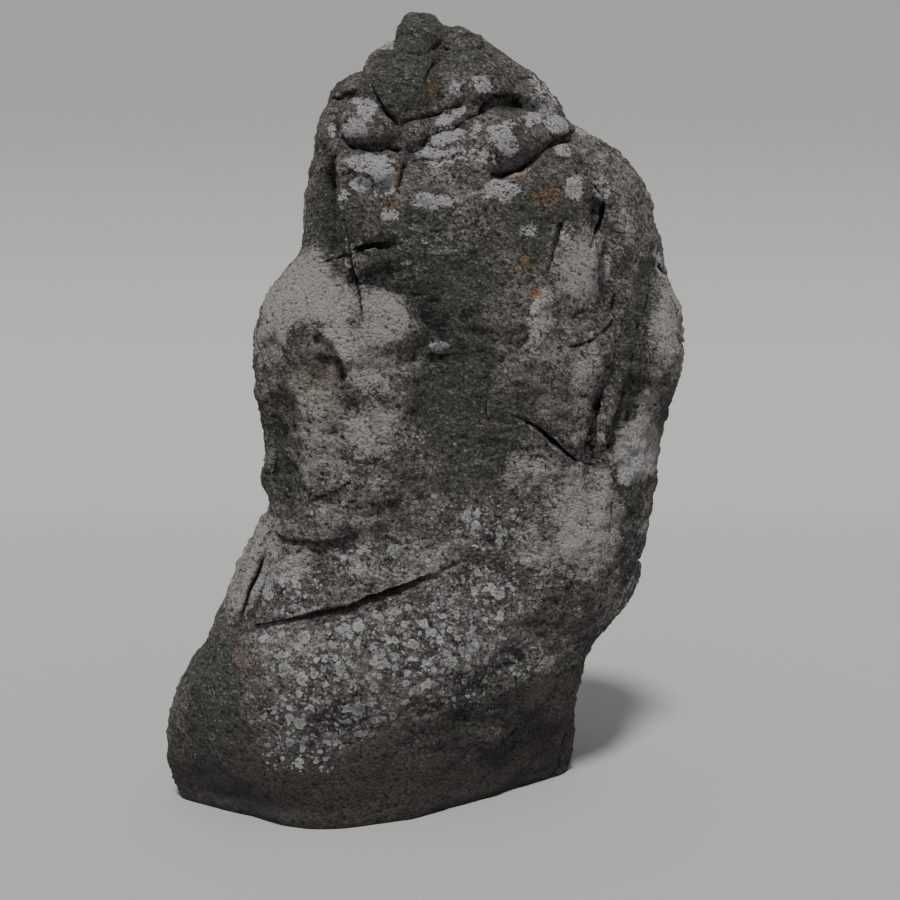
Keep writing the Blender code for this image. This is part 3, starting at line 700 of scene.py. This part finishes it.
ROSETTES = {
    FRONT: (
        (290, 590, 46, 34, 0, 0.80), (310, 655, 60, 40, 0, 1.0), (400, 640, 90, 44, -8, 1.0),
        (475, 600, 50, 44, 0, 0.95),
        (470, 660, 64, 30, -12, 1.0), (330, 710, 76, 40, 0, 0.95), (300, 750, 44, 30, 0, 0.85),
        (430, 690, 70, 24, 0, 0.9),
        (490, 525, 46, 30, 0, 0.85), (430, 510, 40, 26, 0, 0.6), (380, 560, 70, 24, 0, 0.7),
        (520, 580, 40, 40, 0, 0.55),
        (325, 500, 30, 24, 0, 0.6), (430, 450, 40, 30, 0, 0.45), (520, 660, 40, 26, 0, 0.7),
    ),
    RIGHT: ((460, 640, 80, 50, 0, 0.7), (420, 560, 50, 40, 0, 0.5)),
    BACK: ((520, 640, 120, 50, 0, 0.75), (420, 590, 70, 40, 0, 0.5)),
    LEFT: ((440, 640, 80, 50, 0, 0.75), (470, 560, 60, 40, 0, 0.5)),
}
# Algae, and painted shade where ovals lie in recesses: the face edge's recess, under the left block, the
# right flank's valleys and the left concavity.
ALGAE_AND_SHADE = {
    FRONT: (
        (430, 270, 80, 66, 20, 1.0), (450, 380, 50, 90, 0, 1.0), (490, 430, 60, 60, 0, 0.7),
        (560, 390, 40, 60, 0, 0.25),
        (545, 220, 60, 50, 0, 0.7), (330, 215, 26, 60, 0, 0.9), (403, 80, 40, 48, 0, 1.1),
        (470, 60, 40, 20, 20, 0.8), (372, 148, 30, 8, 0, 0.8), (420, 30, 34, 26, 0, 1.0),
        (475, 66, 30, 16, 0, 0.7), (515, 115, 24, 20, 0, 0.6), (630, 380, 16, 100, 4, 1.2),
        (640, 310, 14, 70, 8, 0.9), (287, 455, 14, 80, 0, 1.1), (212, 700, 40, 90, 0, 0.8),
        (470, 480, 40, 30, 0, 0.6), (225, 640, 26, 50, 20, 0.5), (345, 215, 24, 40, 0, 0.8),
        (500, 700, 90, 40, -20, 0.6),
        (628, 520, 16, 70, 0, 1.0), (560, 610, 50, 30, -20, 0.5), (320, 700, 130, 20, 0, 0.4),
    ),
    RIGHT: ((470, 380, 60, 110, 0, 0.8), (430, 700, 90, 50, 0, 0.6), (470, 90, 50, 40, 0, 0.7)),
    BACK: ((480, 300, 90, 100, 0, 0.8), (420, 440, 90, 70, 0, 0.7), (560, 700, 120, 50, 0, 0.6),
           (460, 80, 60, 40, 0, 0.8)),
    LEFT: ((470, 300, 60, 110, 0, 0.8), (440, 500, 60, 60, 0, 0.6), (450, 90, 50, 50, 0, 0.8)),
}
OCHRE = {
    FRONT: (
        (314, 374, 34, 42, 0, 1.0), (328, 425, 24, 44, 0, 0.9), (300, 400, 20, 50, 0, 0.8),
        (360, 520, 50, 30, 0, 0.6), (560, 540, 44, 50, 0, 0.75),
        (600, 560, 30, 50, 0, 0.7), (548, 690, 40, 18, -25, 0.9), (560, 740, 30, 46, 20, 0.7),
        (345, 690, 60, 30, 0, 0.45),
        (300, 725, 50, 20, 0, 0.5), (400, 715, 80, 24, 0, 0.4), (240, 655, 10, 14, 0, 1.0),
        (470, 500, 50, 20, 0, 0.4),
        (545, 205, 30, 16, 0, 0.5), (390, 195, 20, 16, 0, 0.5), (520, 640, 40, 20, 0, 0.5),
        (262, 540, 14, 20, 0, 0.6),
    ),
}
RUST = {
    FRONT: (
        (433, 92, 8, 12, 0, 0.9), (398, 175, 7, 22, 0, 0.9), (517, 174, 12, 9, 0, 1.0),
        (556, 145, 26, 6, -20, 0.8),
        (393, 205, 10, 10, 0, 0.8), (524, 262, 9, 9, 0, 1.0), (536, 292, 8, 10, 0, 0.9),
        (548, 196, 24, 14, 0, 0.9),
        (590, 160, 12, 30, 0, 0.6), (440, 32, 10, 14, 0, 0.7), (505, 70, 10, 14, 0, 0.6),
        (410, 117, 20, 4, 0, 0.7),
        (240, 655, 6, 8, 0, 0.9), (385, 410, 14, 10, 0, 0.5), (500, 760, 60, 20, -20, 0.35),
    ),
}


# Hollows hold grime and painted shade, and what stands proud is bleached, partly as painted light. Both are
# measured against an evened-out skin.
HOLLOW_ROUNDS, HOLLOW_DEPTH = 6, 0.004
DIP_ROUNDS, DIP_DEPTH = 60, 0.012
FOOT_BAND = 0.06

points, normals = read_points(stone.data), read_points(stone.data, "normal")
near = even_out(stone.data, points, HOLLOW_ROUNDS)
far = even_out(stone.data, near, DIP_ROUNDS)
clear = fade(0.0, FOOT_BAND, points[:, 2])
paint(stone.data, "hollow", clear * np.einsum("ij,ij->i", near - points, normals) / HOLLOW_DEPTH)
paint(stone.data, "dip", clear * np.einsum("ij,ij->i", far - near, normals) / DIP_DEPTH)
for name, patches in (("pale_crust", PALE_CRUST), ("white_crust", WHITE_CRUST), ("rosettes", ROSETTES),
                      ("algae_and_shade", ALGAE_AND_SHADE), ("ochre", OCHRE), ("rust", RUST)):
    paint(stone.data, name, patchwork(points, normals, patches))


# The granite's finish: dark, coarse and mineral, greened with algae, blotched with crust lichens and dotted
# with round ones, rusty in the cracks of the crown and damp where it meets the ground. Painted shade darkens
# its slits, hollows and some recesses, and the joints' rims are paler, partly as a painted highlight.
GRANITE_DARK = (0.056, 0.050, 0.044, 1.0)
GRANITE_MID = (0.180, 0.160, 0.143, 1.0)
GRANITE_LIGHT = (0.400, 0.366, 0.334, 1.0)
ALGAE_AND_SHADE_FILM = (0.062, 0.065, 0.050, 1.0)
OCHRE_FILM = (0.225, 0.183, 0.155, 1.0)
PALE_LICHEN = (0.430, 0.400, 0.368, 1.0)
WHITE_LICHEN = (0.480, 0.468, 0.448, 1.0)
ROSETTE_RIM = (0.500, 0.505, 0.505, 1.0)
ROSETTE_HEART = (0.230, 0.228, 0.225, 1.0)
RUST_COLOUR = (0.360, 0.165, 0.050, 1.0)
DAMP_EARTH = (0.044, 0.038, 0.030, 1.0)
GRIME_AND_SHADE = (0.007, 0.0065, 0.006, 1.0)
DAMP_HEIGHT = 0.34
CROWN_HEIGHTS = 1.85, 2.00
STROKE_LEAN = math.radians(-25)
# For each layer of the finish: the strength at which it starts, the one at which it is whole, and how thickly
# it then covers what lies under it.
ROCK_EDGE = -0.6, 0.7
MINERAL_EDGE, MINERAL_COVER = (-0.1, 0.8), 0.75
CRYSTAL_EDGE, CRYSTAL_COVER = (0.86, 0.94), 0.35
ALGAE_AND_SHADE_EDGE, ALGAE_AND_SHADE_COVER = (0.22, 0.78), 0.92
OCHRE_EDGE, OCHRE_COVER = (0.40, 0.95), 0.60
WARM_EDGE, WARM_COVER = (0.35, 0.9), 0.45
CRUST_EDGE, CRUST_COVER = (0.28, 0.90), 0.82
WHITE_EDGE, WHITE_COVER = (0.42, 0.60), 0.88
BLEACH_AND_HIGHLIGHT_EDGE, BLEACH_AND_HIGHLIGHT_COVER = (0.35, 1.0), 0.55
RUST_EDGE, RUST_COVER = (0.80, 1.1), 0.80
DAMP_EDGE, DAMP_COVER = (0.0, 0.22), 0.85
ROSETTE_COVER = 0.88
PIT_EDGE, PIT_COVER = (0.0, 0.9), 0.85
GRIME_AND_SHADE_EDGE, GRIME_AND_SHADE_COVER = (0.3, 2.4), 0.80
SLIT_SHADE_EDGE, SLIT_SHADE_COVER = (0.35, 0.85), 0.92
# Round lichens by size in metres: the zone's strength from which they grow, the share of places they take in
# it, and how far their pattern is moved. They are at their most a zone's width above that strength.
ROSETTE_SIZES = ((0.046, 0.40, 0.80, 0.0), (0.034, 0.34, 0.75, 1.7), (0.022, 0.28, 0.65, 4.1),
                 (0.012, 0.16, 0.42, 6.3))
ZONE_WIDTH = 0.55
DRY_ROUGHNESS, DAMP_GLOSS, FILM_GLOSS = 0.93, 0.12, 0.06
SPECULAR = 0.25
BUMP_DEPTH = 0.0120

look = granite.node_tree
shader = look.nodes["Principled BSDF"]
paints = Signal(look)
spot = paints.node("ShaderNodeTexCoord", {}, {}, "Object")


def painted(name):
    return paints.node("ShaderNodeAttribute", {"attribute_name": name}, {}, "Fac")


def mottle(size, detail=5.0, rough=0.6, stretch=1.0, shift=0.0, lean=0.0):
    """Cloudy noise of a size in metres, from about -1 to 1. Its strokes are longer than tall by the stretch,
    and rise to the right by the lean.
    """
    axis = {"rotation_type": "Y_AXIS"}
    turned = paints.node("ShaderNodeVectorRotate", axis, {"Vector": spot, "Angle": lean})
    drawn = paints.node("ShaderNodeMapping", {}, {"Vector": turned, "Location": (shift, shift, shift),
    "Scale": (1, 1, stretch)})
    values = {"Vector": drawn, "Scale": 1.0 / size, "Detail": detail, "Roughness": rough, "Distortion": 0.3}
    return (paints.node("ShaderNodeTexNoise", {}, values) - 0.5) * 4.0


def cells(size, output="Distance", shift=0.0, feature="F1"):
    """Cells of a size in metres, with edges made crooked."""
    values = {"Vector": spot, "Scale": 2.0 / size, "Detail": 2.0}
    bent = paints.node("ShaderNodeTexNoise", {}, values, "Color")
    moved = paints.node("ShaderNodeVectorMath", {"operation": "MULTIPLY_ADD"},
                        {0: bent, 1: (0.6 * size, 0.6 * size, 0.6 * size), 2: spot})
    drawn = paints.node("ShaderNodeMapping", {}, {"Vector": moved, "Location": (shift, shift, shift)})
    values = {"Vector": drawn, "Scale": 1.0 / size}
    return paints.node("ShaderNodeTexVoronoi", {"feature": feature}, values, output)


def discs(size, crowding, shift):
    """Round lichens of about a size in metres, more of them where crowding is near 1: how far inside one a
    point is, as a share of the size and below 0 outside, and how bright that one is.
    """
    kind = cells(size, "Color", shift)
    chance, breadth, light = (
        paints.node("ShaderNodeSeparateColor", {}, {0: kind}, part) for part in range(3)
    )
    held = (crowding - chance).above(0.0, 0.04)
    return held * (breadth * 0.26 + 0.50) - 0.3 - cells(size, "Distance", shift) + lobes * 0.07, light


hollow, dip, joint = painted("hollow"), painted("dip"), painted("joint")
broad, middle = mottle(0.160), mottle(0.055, 6.0, 0.65, 1.3, 3.0)
strokes = mottle(0.034, 6.0, 0.70, 1.8, 0.0, STROKE_LEAN)
fine, speck = mottle(0.016, 4.0, 0.72, 1.5, 0.0, STROKE_LEAN), mottle(0.0050, 2.0, 0.6)
lobes = mottle(0.010, 2.0, 0.5, 1.0, 8.0)
grains = cells(0.0105)
crystal = paints.node("ShaderNodeSeparateColor", {}, {0: cells(0.0065, "Color")}, 0)
cracking = cells(0.026, "Distance", 2.0, "DISTANCE_TO_EDGE").above(0.05, 0.0)
height_map = strokes * 0.34 + fine * 0.54 + (0.45 - grains) * 0.9 + speck * 0.36

colour = (broad * 0.5 + middle * 0.5).above(*ROCK_EDGE).blend(GRANITE_DARK, GRANITE_MID)
colour = ((height_map + middle * 0.3).above(*MINERAL_EDGE) * MINERAL_COVER).blend(colour, GRANITE_LIGHT)
colour = (crystal.above(*CRYSTAL_EDGE) * CRYSTAL_COVER).blend(colour, GRANITE_LIGHT)

# The dark algae film, thicker in dips, is in part painted shade in the hollows, valleys and undersides.
algae_and_shade_film = (painted("algae_and_shade") + broad * 0.24 + middle * 0.22 + dip * 0.16).above(*ALGAE_AND_SHADE_EDGE)
colour = (algae_and_shade_film * (ALGAE_AND_SHADE_COVER - height_map.above(-0.1, 0.7) * 0.72)).blend(colour, ALGAE_AND_SHADE_FILM)
ochre = (painted("ochre") + middle * 0.35 + fine * 0.25).above(*OCHRE_EDGE)
colour = (ochre * OCHRE_COVER).blend(colour, OCHRE_FILM)
warm = (mottle(0.024, 3.0, 0.6, 1.2, 6.0) + broad * 0.4).above(*WARM_EDGE)
colour = (warm * WARM_COVER).blend(colour, OCHRE_FILM)

# Less crust in the dips, so that proud places come out paler: partly the lichen's habit, partly painted
# light.
crust = painted("pale_crust") + middle * 0.26 + strokes * 0.10 + height_map * 0.26 - dip * 0.12
crust = crust.above(*CRUST_EDGE)
colour = (crust * CRUST_COVER).blend(colour, PALE_LICHEN)
white = painted("white_crust") + middle * 0.34 + fine * 0.16 + height_map * 0.16 - dip * 0.06
white = white.above(*WHITE_EDGE)
colour = (white * WHITE_COVER).blend(colour, WHITE_LICHEN)
height = paints.node("ShaderNodeSeparateXYZ", {}, {0: spot}, 2)
# The joints' rims are painted paler, as worn and bleached edges and in part as a painted highlight where the
# lips catch the light.
rim = painted("rim")
bleach_and_highlight = (rim + middle * 0.30 + fine * 0.20).above(*BLEACH_AND_HIGHLIGHT_EDGE)
colour = (bleach_and_highlight * BLEACH_AND_HIGHLIGHT_COVER).blend(colour, PALE_LICHEN)
# Rust, and along the crown's rims an orange that is in part a painted highlight too.
rust_and_lit_rims = painted("rust") + rim * height.above(*CROWN_HEIGHTS) * 0.5
rust_and_lit_rims = (rust_and_lit_rims + mottle(0.011, 4.0, 0.7, 1.0, 2.0) * 0.60 + middle * 0.2).above(*RUST_EDGE)
colour = (rust_and_lit_rims * RUST_COVER).blend(colour, RUST_COLOUR)

damp = (DAMP_HEIGHT - height + broad * 0.10 + middle * 0.05).above(*DAMP_EDGE)
colour = (damp * DAMP_COVER).blend(colour, DAMP_EARTH)

zone = painted("rosettes") + broad * 0.10 + middle * 0.22
rings = None
for size, need, most, shift in ROSETTE_SIZES:
    inside, light = discs(size, zone.above(need, need + ZONE_WIDTH) * most, shift)
    ring = inside.above(0.0, 0.06)
    heart = inside.above(0.10, 0.26) * 0.5 + light.above(0.85, 0.20) * 0.5
    colour = (ring * ROSETTE_COVER).blend(colour, heart.blend(ROSETTE_RIM, ROSETTE_HEART))
    rings = ring if rings is None else paints.maths("MAXIMUM", rings, ring)

fissures = cracking * (white * 0.30 + crust * 0.20)
pits = (height_map * -1.0).above(0.0, 0.80) * (1.0 - rings * 0.6) * (1.0 - crust * 0.35) + fissures
colour = (pits.above(*PIT_EDGE) * PIT_COVER).blend(colour, GRIME_AND_SHADE)
# Painted shade, with some grime, darkens the hollows and dips.
grime_and_shade = (hollow + dip * 0.6 + speck * 0.2).above(*GRIME_AND_SHADE_EDGE)
colour = (grime_and_shade * GRIME_AND_SHADE_COVER).blend(colour, GRIME_AND_SHADE)
# Painted shade: the joints' slits are darkened nearly to black, as the shade that lies in them, with some
# grime.
colour = ((joint + speck * 0.1).above(*SLIT_SHADE_EDGE) * SLIT_SHADE_COVER).blend(colour, GRIME_AND_SHADE)

bump = paints.node("ShaderNodeBump", {}, {"Height": height_map, "Strength": 1.0, "Distance": BUMP_DEPTH})
look.links.new(colour.socket, shader.inputs["Base Color"])
roughness = DRY_ROUGHNESS - damp * DAMP_GLOSS - algae_and_shade_film * FILM_GLOSS
look.links.new(roughness.socket, shader.inputs["Roughness"])
look.links.new(bump.socket, shader.inputs["Normal"])
shader.inputs["Specular IOR Level"].default_value = SPECULAR

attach(stone, "root")
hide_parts("standing_stone")


# A plain pale floor that sweeps up behind the stone, and soft light: one broad lamp high in front, a little
# to the left, and an even sky.
FLOOR_SPAN = 80.0
FLOOR_ROUGHNESS = 0.9
SWEEP_FROM, SWEEP_RADIUS, SWEEP_STEPS = 6.0, 5.0, 24
FLOOR_PALE = (0.36, 0.355, 0.347, 1.0)
SKY = (0.88, 0.90, 0.93, 1.0)
SKY_STRENGTH = 0.48
LAMP_STRENGTH = 3.8
LAMP_BREADTH = math.radians(9.0)
LAMP_FROM = Vector((-0.25, -2.4, 3.9))

half = FLOOR_SPAN / 2
profile = [(-half, 0.0)]
for step in range(SWEEP_STEPS + 1):
    turn = step / SWEEP_STEPS * math.pi / 2
    profile.append((SWEEP_FROM + SWEEP_RADIUS * math.sin(turn), SWEEP_RADIUS * (1 - math.cos(turn))))
profile.append((SWEEP_FROM + SWEEP_RADIUS, half))
corners = [(side * half, y, z) for y, z in profile for side in (-1, 1)]
strips = [(2 * row, 2 * row + 1, 2 * row + 3, 2 * row + 2) for row in range(len(profile) - 1)]
floor_mesh = bpy.data.meshes.new("floor")
floor_mesh.from_pydata(corners, [], strips)
floor_mesh.shade_smooth()
floor = bpy.data.objects.new("floor", floor_mesh)
bpy.context.scene.collection.objects.link(floor)
plaster = bpy.data.materials.new("pale_plaster")
plaster.use_nodes = True
plaster.node_tree.nodes["Principled BSDF"].inputs["Base Color"].default_value = FLOOR_PALE
plaster.node_tree.nodes["Principled BSDF"].inputs["Roughness"].default_value = FLOOR_ROUGHNESS
floor.data.materials.append(plaster)

world = bpy.data.worlds.new("sky")
world.use_nodes = True
world.node_tree.nodes["Background"].inputs["Color"].default_value = SKY
world.node_tree.nodes["Background"].inputs["Strength"].default_value = SKY_STRENGTH
bpy.context.scene.world = world
light = bpy.data.lights.new("lamp", "SUN")
light.energy = LAMP_STRENGTH
light.angle = LAMP_BREADTH
lamp = bpy.data.objects.new("lamp", light)
lamp.location = LAMP_FROM
lamp.rotation_euler = LAMP_FROM.to_track_quat("Z", "Y").to_euler()
bpy.context.scene.collection.objects.link(lamp)
